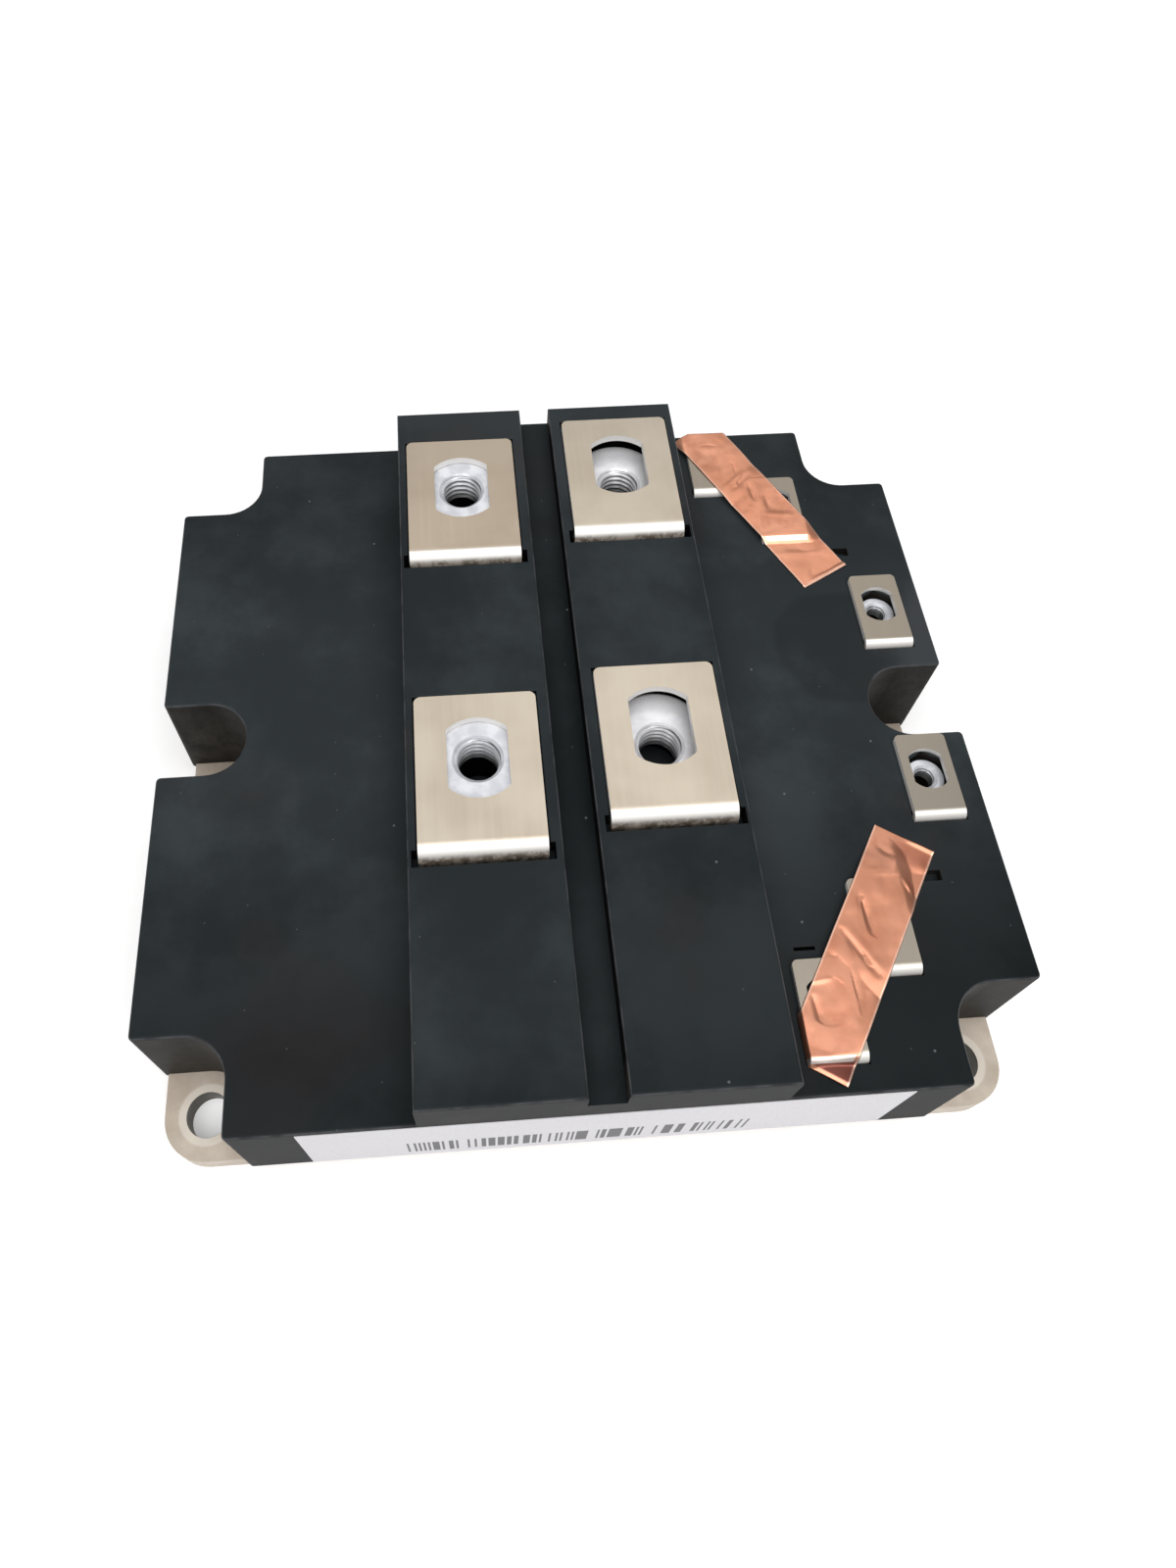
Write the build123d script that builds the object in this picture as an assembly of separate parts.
from build123d import *
import math
import os

# A dual power transistor module: a moulded black case on a plated copper base plate.
# Frame: origin at the centre of the underside, +X along the long side, +Y to the back, +Z up. Millimetres.

# Case outline, seen from above
case_length = 140.0
case_depth = 130.0
case_corner_radius = 0.8
case_wall = 2.4
case_edge_radius = 0.5

# Case heights above the mounting face
deck_top = 27.2
bar_top = 37.4
deck_thickness = 2.6

# Two raised bars with a channel between them, running front to back
channel_width = 5.7
channel_depth = 4.4
bar_inner_margin = 2.25
bar_outer_margin = 1.7

# Base plate, its six screw holes and the rim of the case that wraps its edge
plate_thickness = 5.0
plate_inset = 1.0
screw_edge_x = 8.0
screw_edge_y = 8.0
screw_hole_radius = 3.5
screw_head_room = 6.8
rim_drop = 1.0
rim_clearance = 0.2

# Main terminals: nickel-plated straps, bent down into the bars
# Each hole is given from the nearer edge of the case, which puts the two of a bar 57 mm apart
left_back_edge = 19.9
left_front_edge = 53.1
right_back_edge = 16.0
right_front_edge = 57.0
main_width = 20.4
main_thickness = 1.5
main_behind_hole = 11.7
main_before_hole = 16.8
main_hole_radius = 7.25
main_hole_flats = 10.1
main_bend_radius = 1.15
main_corner_radius = 1.2
main_stands_proud = 0.6
main_leg_width = 18.0
main_leg_shoulder = 2.4
main_foot_reach = 3.0
main_foot_width = 4.4
main_foot_gap_height = 5.0

# Pocket around each main strap in the bar
recess_clearance = 0.3
slot_side_clearance = 1.05
slot_front_clearance = 1.2
slot_back_clearance = 0.15

# Nuts under the main terminals
main_nut_radius = 8.2
main_nut_flats = 13.0
main_nut_height = 6.5
main_nut_edge = 0.3
main_nut_bore_radius = 3.4
main_nut_countersink = 1.8
main_nut_play = 1.6
main_nut_drop_left = 0.1
main_nut_drop_right = 3.2
main_nut_shift_left = 0.45
main_nut_shift_right = -1.3
main_well_radius = 4.6
main_well_depth = 16.5
nut_clearance = 0.2
nut_chamfer_angle = math.radians(30)
boss_wall = 2.2
boss_floor = 2.0
aux_boss_wall = 1.1

# Small terminals for gate, emitter and collector sensing
aux_thickness = 1.0
aux_width = 8.8
aux_behind_hole = 6.6
aux_before_hole = 9.0
aux_hole_radius = 3.75
aux_hole_flats = 5.8
aux_bend_radius = 0.6
aux_corner_radius = 0.9
aux_leg_width = 3.0
aux_leg_shoulder = 4.0
aux_foot_reach = 3.5
aux_slot_clearance = 0.25
aux_shift_y = 3.0
emitter_from_bar = 8.55
emitter_edge = 10.3
gate_step_x = 11.45
gate_step_y = 12.4
collector_edge = 8.4
collector_row = 17.1
collector_arm_height = 8.0

# Nuts under the small terminals
aux_nut_flats = 7.0
aux_nut_height = 3.2
aux_nut_edge = 0.25
aux_nut_bore_radius = 1.65
aux_nut_countersink = 0.6
aux_nut_drop = 1.4
aux_nut_shift = -0.5
aux_well_radius = 2.4
aux_well_depth = 10.0

# Narrow blind slots in the deck, for terminals that this version leaves out
key_slot_depth = 1.8
key_slot_width = 1.8
key_slot_narrow = 0.6
key_slot_length = 3.4
key_slot_behind_emitter = 1.9
key_slot_from_collector_x = 4.4
key_slot_back_gap = 6.5
key_slot_front_gap = 9.6

# Copper foil strips that short gate to emitter for shipping
# The ends are given from the hole of the terminal nearest to them
foil_thickness = 0.3
foil_width = 10.2
foil_ramp = 1.1
foil_edge_gap = 0.2
foil_side_reach = 0.5
back_foil_start = (-2.15, 7.45)
back_foil_end = (6.05, -17.8)
front_foil_start = (7.25, 13.2)
front_foil_end = (-4.0, -9.6)

# Label on the front face
label_length = 91.3
label_shift_x = 0.8
label_thickness = 0.12
label_top_gap = 0.3
label_bottom_gap = 0.6

# Ceramic substrates with copper on both faces, soldered to the base plate
substrate_gap = 3.0
substrate_wall_gap = 2.0
copper_thickness = 0.3
ceramic_thickness = 0.63
copper_edge = 1.0
pad_gap = 1.2
landing_half = 6.2
signal_pad_width = 5.0

# Chips and bond wires
chip_thickness = 0.2
transistor_size = 9.6
transistor_offsets = (-7.4, 2.8)
diode_width = 5.6
diode_offset = 11.0
wire_thickness = 0.4
wire_loop = 2.4
wire_foot = 0.8
wire_end_gap = 0.5
transistor_wire_step = 3.0
diode_wire_step = 2.6

# How far a form reaches into the one that it joins or cuts
overlap = 1.0

# Values that follow from the sizes above
half_length = case_length / 2
half_depth = case_depth / 2
plate_half_x = half_length - plate_inset
plate_half_y = half_depth - plate_inset
plate_corner_radius = min(screw_edge_x, screw_edge_y) - plate_inset
screw_x = half_length - screw_edge_x
screw_y = half_depth - screw_edge_y
channel_half = channel_width / 2
main_x = channel_half + bar_inner_margin + main_width / 2
bar_outer_x = main_x + main_width / 2 + bar_outer_margin
bar_inner_low = channel_half + case_wall
bar_inner_high = bar_outer_x - case_wall
bar_roof = bar_top - deck_thickness
channel_floor = bar_top - channel_depth
deck_roof = deck_top - deck_thickness

main_top = bar_top + main_stands_proud
main_underside = main_top - main_thickness
aux_underside = deck_top
aux_top = aux_underside + aux_thickness

ceramic_bottom = plate_thickness + copper_thickness
copper_bottom = ceramic_bottom + ceramic_thickness
pad_top = copper_bottom + copper_thickness
chip_top = pad_top + chip_thickness
substrate_inner = substrate_gap / 2
substrate_outer = screw_x - screw_head_room - case_wall - substrate_wall_gap
substrate_back = half_depth - case_wall - substrate_wall_gap

emitter_x = bar_outer_x + emitter_from_bar
gate_x = emitter_x + gate_step_x
collector_x = half_length - collector_edge
emitter_row = half_depth - emitter_edge
gate_row = emitter_row - gate_step_y

# Main terminals: hole x and y, how far the nut lies below the plate and how far behind the hole
main_terminals = {
    "left_back": (-main_x, half_depth - left_back_edge, main_nut_drop_left, main_nut_shift_left),
    "left_front": (-main_x, left_front_edge - half_depth, main_nut_drop_left, main_nut_shift_left),
    "right_back": (main_x, half_depth - right_back_edge, main_nut_drop_right, main_nut_shift_right),
    "right_front": (main_x, right_front_edge - half_depth, main_nut_drop_right, main_nut_shift_right),
}

# Small terminals: hole x and y
aux_terminals = {
    "emitter_back": (emitter_x, aux_shift_y + emitter_row),
    "gate_back": (gate_x, aux_shift_y + gate_row),
    "collector_back": (collector_x, aux_shift_y + collector_row),
    "collector_front": (collector_x, aux_shift_y - collector_row),
    "gate_front": (gate_x, aux_shift_y - gate_row),
    "emitter_front": (emitter_x, aux_shift_y - emitter_row),
}


def same(a, b):
    return abs(a - b) < 0.01


def block(low, high):
    """A box between two corners."""
    size = [b - a for a, b in zip(low, high)]
    middle = [(a + b) / 2 for a, b in zip(low, high)]
    return Pos(*middle) * Box(*size)


def prism(sketch, bottom, top):
    """A flat outline pulled up from one height to another."""
    return Pos(0, 0, bottom) * extrude(sketch, amount=top - bottom)


def strip(line, thickness, width, x, side=Side.LEFT):
    """Sheet metal bent along a line in the YZ plane, which is one of its faces, centred on x."""
    section = make_face(line.offset_2d(thickness, kind=Kind.INTERSECTION, side=side, closed=True))
    return Pos(x, 0, 0) * extrude(Plane.YZ * section, amount=width / 2, both=True)


def flat_sided_hole(radius, flats, depth):
    """A round hole with two flats facing left and right."""
    return Cylinder(radius, depth) & Box(flats, 2 * radius, depth)


def case_outline():
    """The case seen from above, with room for a screw head at each of the six holes."""
    outline = Rectangle(2 * half_length, 2 * half_depth)
    reach_x = screw_edge_x + screw_head_room
    reach_y = screw_edge_y + screw_head_room
    for sx in (-1, 1):
        for sy in (-1, 1):
            corner = Rectangle(2 * reach_x, 2 * reach_y)
            corner = fillet(corner.vertices(), screw_head_room)
            outline -= Pos(sx * half_length, sy * half_depth) * corner
        outline -= Pos(sx * screw_x, 0) * Circle(screw_head_room)
        outline -= Pos(sx * half_length, 0) * Rectangle(2 * screw_edge_x, 2 * screw_head_room)
    tips = outline.vertices().filter_by(lambda v: same(abs(v.X), half_length) or same(abs(v.Y), half_depth))
    return fillet(tips, case_corner_radius)


def plate_outline(grow=0.0):
    """The base plate seen from above, without its holes."""
    return RectangleRounded(2 * (plate_half_x + grow), 2 * (plate_half_y + grow), plate_corner_radius + grow)


def make_base_plate():
    outline = plate_outline()
    for sx in (-1, 1):
        for y in (-screw_y, 0, screw_y):
            outline -= Pos(sx * screw_x, y) * Circle(screw_hole_radius)
    return prism(outline, 0, plate_thickness)


def case_shell():
    """The outer form with its walls: open below, with a roof over the deck and over each bar."""
    outline = case_outline()
    body = prism(outline, plate_thickness, deck_top)
    body += block((-bar_outer_x, -half_depth, plate_thickness), (bar_outer_x, half_depth, bar_top))
    body -= block((-channel_half, -half_depth, channel_floor), (channel_half, half_depth, bar_top))
    deck_edges = body.edges().filter_by(lambda e: same(e.center().Z, deck_top))
    deck_edges -= deck_edges.filter_by(lambda e: same(abs(e.center().X), bar_outer_x))
    bar_edges = body.edges().filter_by(lambda e: same(e.center().Z, bar_top))
    body = fillet(deck_edges + bar_edges, case_edge_radius)
    body -= prism(offset(outline, -case_wall), plate_thickness, deck_roof)
    inner_y = half_depth - case_wall
    for side in (-1, 1):
        low, high = sorted((side * bar_inner_low, side * bar_inner_high))
        body -= block((low, -inner_y, plate_thickness), (high, inner_y, bar_roof))
    channel_roof = channel_floor - case_wall
    body -= block((-bar_inner_low, -inner_y, plate_thickness), (bar_inner_low, inner_y, channel_roof))
    rim = outline - plate_outline(rim_clearance)
    return body + prism(rim, plate_thickness - rim_drop, plate_thickness)


def main_pocket_half():
    """Half the length of the nut pocket, front to back: the nut plus its play."""
    return main_nut_radius + main_nut_play


def add_main_seats(body):
    """For each main terminal: a block with a nut pocket and a screw well, a recess and a slot."""
    half_boss = main_pocket_half() + boss_wall
    half_recess = main_width / 2 + recess_clearance
    half_slot = main_width / 2 + slot_side_clearance
    half_nut = main_nut_flats / 2 + nut_clearance
    well_floor = main_top - main_well_depth
    for x, y, _, _ in main_terminals.values():
        boss = Pos(x, y) * Rectangle(bar_inner_high - bar_inner_low + 2 * overlap, 2 * half_boss)
        body += prism(boss, well_floor - boss_floor, bar_roof + overlap)
    for x, y, drop, _ in main_terminals.values():
        leg = y - main_before_hole
        inner = leg + main_thickness
        body -= block(
            (x - half_recess, inner, main_underside),
            (x + half_recess, y + main_behind_hole + recess_clearance, bar_top),
        )
        body -= block(
            (x - half_slot, leg - slot_front_clearance, bar_roof - overlap),
            (x + half_slot, inner + slot_back_clearance, bar_top),
        )
        body -= block(
            (x - half_recess, inner, main_underside - main_bend_radius),
            (x + half_recess, inner + main_bend_radius + slot_back_clearance, main_underside),
        )
        pocket_floor = main_underside - drop - main_nut_height
        pocket = Pos(x, y) * Rectangle(2 * half_nut, 2 * main_pocket_half())
        body -= prism(pocket, pocket_floor, main_underside)
        body -= prism(Pos(x, y) * Circle(main_well_radius), well_floor, pocket_floor)
    return body


def add_aux_seats(body):
    """Under each small terminal: a hexagonal boss with a nut pocket, a screw well and a slot."""
    pocket_radius = aux_nut_flats / 2 + nut_clearance
    hexagon = RegularPolygon(pocket_radius, 6, major_radius=False, rotation=30)
    boss = RegularPolygon(pocket_radius + aux_boss_wall, 6, major_radius=False, rotation=30)
    well_floor = aux_top - aux_well_depth
    pocket_floor = aux_underside - aux_nut_drop - aux_nut_height
    for x, y in aux_terminals.values():
        seat = prism(Pos(x, y + aux_nut_shift) * boss, well_floor - boss_floor, deck_roof + overlap)
        body += seat & prism(case_outline(), 0, deck_top)
    for x, y in aux_terminals.values():
        body -= prism(Pos(x, y + aux_nut_shift) * hexagon, pocket_floor, deck_top)
        body -= prism(Pos(x, y + aux_nut_shift) * Circle(aux_well_radius), well_floor, pocket_floor)
        leg = y - aux_before_hole
        half_slot = aux_width / 2 + aux_slot_clearance
        body -= block(
            (x - half_slot, leg - aux_slot_clearance, deck_roof - overlap),
            (x + half_slot, leg + aux_thickness + aux_bend_radius + aux_slot_clearance, deck_top),
        )
    return body


def add_key_slots(body):
    """Three narrow blind slots in the deck beside the small terminals."""
    slot_x = collector_x - key_slot_from_collector_x
    behind_back = aux_terminals["collector_back"][1] + aux_behind_hole
    before_front = aux_terminals["collector_front"][1] - aux_before_hole
    behind_emitter = aux_terminals["emitter_front"][1] + aux_behind_hole
    slots = (
        (slot_x, behind_back + key_slot_back_gap, key_slot_width),
        (slot_x, before_front - key_slot_front_gap, key_slot_width),
        (emitter_x - key_slot_length / 2, behind_emitter + key_slot_behind_emitter, key_slot_narrow),
    )
    for x, y, width in slots:
        slot = Pos(x, y) * Rectangle(key_slot_length, width)
        body -= prism(slot, deck_top - key_slot_depth, deck_top)
    return body


def make_case():
    return add_key_slots(add_aux_seats(add_main_seats(case_shell())))


def make_main_terminal(x, y):
    """A flat plate with a flat-sided hole, bent down into a leg that ends in three soldered feet."""
    back = y + main_behind_hole
    leg = y - main_before_hole
    foot = pad_top + main_thickness
    outline = FilletPolyline(
        (back, main_top),
        (leg, main_top),
        (leg, foot),
        (leg - main_foot_reach, foot),
        radius=(main_bend_radius + main_thickness, main_bend_radius),
    )
    strap = strip(outline, main_thickness, main_width, x)
    ends = strap.edges().filter_by(Axis.Z).filter_by(lambda e: same(e.center().Y, back))
    strap = fillet(ends, main_corner_radius)
    strap -= Pos(x, y, main_top) * flat_sided_hole(main_hole_radius, main_hole_flats, 4 * main_thickness)
    shoulder = main_underside - main_leg_shoulder
    for side in (-1, 1):
        inner, outer = x + side * main_leg_width / 2, x + side * main_width / 2
        strap -= block(
            (min(inner, outer), leg - main_foot_reach, pad_top),
            (max(inner, outer), leg + main_thickness, shoulder),
        )
    gap = (main_leg_width - 3 * main_foot_width) / 2
    for side in (-1, 1):
        middle = x + side * (main_foot_width + gap) / 2
        strap -= block(
            (middle - gap / 2, leg - main_foot_reach, pad_top),
            (middle + gap / 2, leg + main_thickness, pad_top + main_foot_gap_height),
        )
    return strap


def turned_nut(reach, face_radius, height, bore_radius, countersink):
    """The turned form of a nut: a bore countersunk at the top, and an upper edge that slopes off."""
    profile = Polyline(
        (bore_radius, 0),
        (reach, 0),
        (reach, height - (reach - face_radius) * math.tan(nut_chamfer_angle)),
        (face_radius, height),
        (bore_radius + countersink, height),
        (bore_radius, height - countersink),
        close=True,
    )
    return revolve(Plane.XZ * make_face(profile), Axis.Z)


def make_main_nut(x, y, top):
    """A round nut with a flat at the left and at the right, which keep it from turning in its pocket."""
    face_radius = main_nut_radius - main_nut_edge
    height = main_nut_height
    turned = turned_nut(main_nut_radius, face_radius, height, main_nut_bore_radius, main_nut_countersink)
    return Pos(x, y, top - height) * (turned & Box(main_nut_flats, 2 * main_nut_radius, 2 * height))


def make_aux_nut(x, y, top):
    """A hexagon nut, flats left and right."""
    face_radius = aux_nut_flats / 2 - aux_nut_edge
    height = aux_nut_height
    turned = turned_nut(aux_nut_flats, face_radius, height, aux_nut_bore_radius, aux_nut_countersink)
    hexagon = RegularPolygon(aux_nut_flats / 2, 6, major_radius=False, rotation=30)
    return Pos(x, y, top - height) * (turned & extrude(hexagon, amount=height))


def make_aux_terminal(name, x, y):
    """A small bent plate whose narrow leg runs down to a pad on the substrate."""
    back = y + aux_behind_hole
    leg = y - aux_before_hole
    bend = aux_bend_radius + aux_thickness
    shoulder = aux_underside - aux_leg_shoulder
    outline = FilletPolyline((back, aux_top), (leg, aux_top), (leg, shoulder), radius=bend)
    plate = strip(outline, aux_thickness, aux_width, x)
    ends = plate.edges().filter_by(Axis.Z).filter_by(lambda e: same(e.center().Y, back))
    plate = fillet(ends, aux_corner_radius)
    plate -= Pos(x, y, aux_top) * flat_sided_hole(aux_hole_radius, aux_hole_flats, 4 * aux_thickness)
    landing = x
    if name.startswith("collector"):
        # The collector leg steps sideways, past the edge of the substrate
        landing = gate_x
        arm_low = pad_top + collector_arm_height
        arm_high = arm_low + aux_leg_width
        outer = x + aux_leg_width / 2
        plate += block((outer - aux_leg_width, leg, arm_low), (outer, leg + aux_thickness, shoulder))
        plate += block((landing - aux_leg_width / 2, leg, arm_low), (outer, leg + aux_thickness, arm_high))
        shoulder = arm_low
    foot = FilletPolyline((leg, shoulder), (leg, pad_top), (leg + aux_foot_reach, pad_top), radius=bend)
    return plate + strip(foot, aux_thickness, aux_leg_width, landing)


def make_foil(start, end, heights):
    """A strip between two end points, draped by y only, because the edges under it run left to right."""
    upper = [(y, z + foil_thickness) for y, z in reversed(heights)]
    side = make_face(Polyline(*heights, *upper, close=True))
    along = Vector(*end) - Vector(*start)
    middle = (Vector(*start) + Vector(*end)) / 2
    turn = Vector(1, 0, 0).get_signed_angle(along, Vector(0, 0, 1))
    plan = Pos(middle.X, middle.Y) * Rot(0, 0, turn) * Rectangle(along.length, foil_width)
    plan &= Rectangle(case_length, case_depth - 2 * foil_edge_gap)
    return extrude(Plane.YZ * side, amount=half_length, both=True) & prism(plan, deck_top, main_top)


def beside(terminal, offset):
    """A point given from the hole of a small terminal."""
    x, y = aux_terminals[terminal]
    return x + offset[0], y + offset[1]


def make_back_foil():
    """From the back edge of the deck, over two small terminals and down in front of the second."""
    drop = aux_terminals["gate_back"][1] - aux_before_hole - foil_edge_gap
    heights = (
        (half_depth, aux_top),
        (drop, aux_top),
        (drop - foil_ramp, deck_top),
        (0, deck_top),
    )
    return make_foil(beside("emitter_back", back_foil_start), beside("gate_back", back_foil_end), heights)


def make_front_foil():
    """From the deck up over two small terminals and down again in front of the second."""
    climb = aux_terminals["gate_front"][1] + aux_behind_hole + foil_edge_gap
    drop = aux_terminals["emitter_front"][1] - aux_before_hole - foil_edge_gap
    heights = (
        (0, deck_top),
        (climb + foil_ramp, deck_top),
        (climb, aux_top),
        (drop, aux_top),
        (drop - foil_ramp, deck_top),
        (-half_depth, deck_top),
    )
    foil = make_foil(beside("gate_front", front_foil_start), beside("emitter_front", front_foil_end), heights)
    left = emitter_x - aux_width / 2 - foil_side_reach
    return foil & block((left, -half_depth, deck_top), (half_length, 0, main_top))


def make_label():
    low = plate_thickness - rim_drop + label_bottom_gap
    return block(
        (label_shift_x - label_length / 2, -half_depth - label_thickness, low),
        (label_shift_x + label_length / 2, -half_depth, deck_top - case_edge_radius - label_top_gap),
    )


def foot_middle(y):
    """Where the feet of a main terminal stand, front to back."""
    return y - main_before_hole + (main_thickness - main_foot_reach) / 2


def substrate_span(side, row):
    """Corners of a ceramic substrate, seen from above."""
    xs = sorted((side * substrate_inner, side * substrate_outer))
    ys = sorted((row * substrate_inner, row * substrate_back))
    return xs, ys


def sense_split(row):
    """Halfway between the feet of the gate and collector terminals of a row."""
    names = ("gate_back", "collector_back") if row > 0 else ("gate_front", "collector_front")
    middle = sum(aux_terminals[name][1] for name in names) / 2
    return middle - aux_before_hole + aux_foot_reach / 2


def plate_between(xs, ys, bottom, top):
    return block((min(xs), min(ys), bottom), (max(xs), max(ys), top))


def make_substrate(side, row, y):
    """One substrate: the copper below, the ceramic and the copper pads on top, as three layers."""
    xs, ys = substrate_span(side, row)
    inner_x = side * (substrate_inner + copper_edge)
    wide_x = side * (emitter_x - signal_pad_width / 2 - pad_gap)
    y_low, y_high = ys[0] + copper_edge, ys[1] - copper_edge
    under_xs = (xs[0] + copper_edge, xs[1] - copper_edge)
    under = plate_between(under_xs, (y_low, y_high), plate_thickness, ceramic_bottom)
    ceramic = plate_between(xs, ys, ceramic_bottom, copper_bottom)
    landing = foot_middle(y)
    split = sense_split(row)
    signal = [side * (emitter_x + k * signal_pad_width / 2) for k in (-1, 1)]
    sense = [side * (gate_x - signal_pad_width / 2), side * (substrate_outer - copper_edge)]
    pads = (
        ((inner_x, wide_x), (landing + landing_half + pad_gap, y_high)),
        ((inner_x, wide_x), (landing - landing_half, landing + landing_half)),
        ((inner_x, wide_x), (y_low, landing - landing_half - pad_gap)),
        (signal, (y_low, y_high)),
        (sense, (y_low, split - pad_gap / 2)),
        (sense, (split + pad_gap / 2, y_high)),
    )
    top = [plate_between(px, py, copper_bottom, pad_top) for px, py in pads]
    return under, ceramic, Compound(top)


def chip_rows(row, y):
    """Middle of the chips on the pads behind and before the feet, each with the way to the feet."""
    _, ys = substrate_span(1, row)
    behind = (foot_middle(y) + landing_half + pad_gap + ys[1] - copper_edge) / 2
    before = (foot_middle(y) - landing_half - pad_gap + ys[0] + copper_edge) / 2
    return ((behind, -1), (before, 1))


def make_transistors(x, side, rows):
    chip = Rectangle(transistor_size, transistor_size)
    places = [(x + side * dx, y) for y, _ in rows for dx in transistor_offsets]
    return Compound([prism(Pos(*place) * chip, pad_top, chip_top) for place in places])


def make_diodes(x, side, rows):
    chip = Rectangle(diode_width, transistor_size)
    places = [(x + side * diode_offset, y) for y, _ in rows]
    return Compound([prism(Pos(*place) * chip, pad_top, chip_top) for place in places])


def make_wires(x, side, rows, landing):
    """Looped bond wires from each chip to the pad under the terminal's feet."""
    columns = [x + side * dx + k * transistor_wire_step for dx in transistor_offsets for k in (-1, 0, 1)]
    columns += [x + side * diode_offset + k * diode_wire_step / 2 for k in (-1, 1)]
    wires = []
    for start, way in rows:
        end = landing - way * (landing_half - wire_end_gap)
        rise = (end - start) / 3
        underside = Polyline(
            (start, chip_top),
            (start + way * wire_foot, chip_top),
            (start + rise, chip_top + wire_loop),
            (end - rise, chip_top + wire_loop),
            (end - way * wire_foot, pad_top),
            (end, pad_top),
        )
        above = Side.LEFT if way > 0 else Side.RIGHT
        wires += [strip(underside, wire_thickness, wire_thickness, column, above) for column in columns]
    return Compound([solid for wire in wires for solid in wire.solids()])


def build_parts():
    """Every node by name."""
    parts = {"base_plate": make_base_plate(), "case": make_case(), "front_label": make_label()}
    for place, (x, y, drop, shift) in main_terminals.items():
        side = 1 if x > 0 else -1
        row = 1 if place.endswith("back") else -1
        parts[f"main_terminal_{place}"] = make_main_terminal(x, y)
        parts[f"main_nut_{place}"] = make_main_nut(x, y + shift, main_underside - drop)
        under, ceramic, pads = make_substrate(side, row, y)
        parts[f"substrate_solder_copper_{place}"] = under
        parts[f"substrate_ceramic_{place}"] = ceramic
        parts[f"substrate_pads_{place}"] = pads
        rows = chip_rows(row, y)
        parts[f"transistor_chips_{place}"] = make_transistors(x, side, rows)
        parts[f"diode_chips_{place}"] = make_diodes(x, side, rows)
        parts[f"bond_wires_{place}"] = make_wires(x, side, rows, foot_middle(y))
    for place, (x, y) in aux_terminals.items():
        parts[f"{place}_terminal"] = make_aux_terminal(place, x, y)
        parts[f"{place}_nut"] = make_aux_nut(x, y + aux_nut_shift, aux_underside - aux_nut_drop)
    parts["shorting_foil_back"] = make_back_foil()
    parts["shorting_foil_front"] = make_front_foil()
    return parts


os.makedirs("parts", exist_ok=True)
for name, shape in build_parts().items():
    export_step(shape, f"parts/{name}.step")
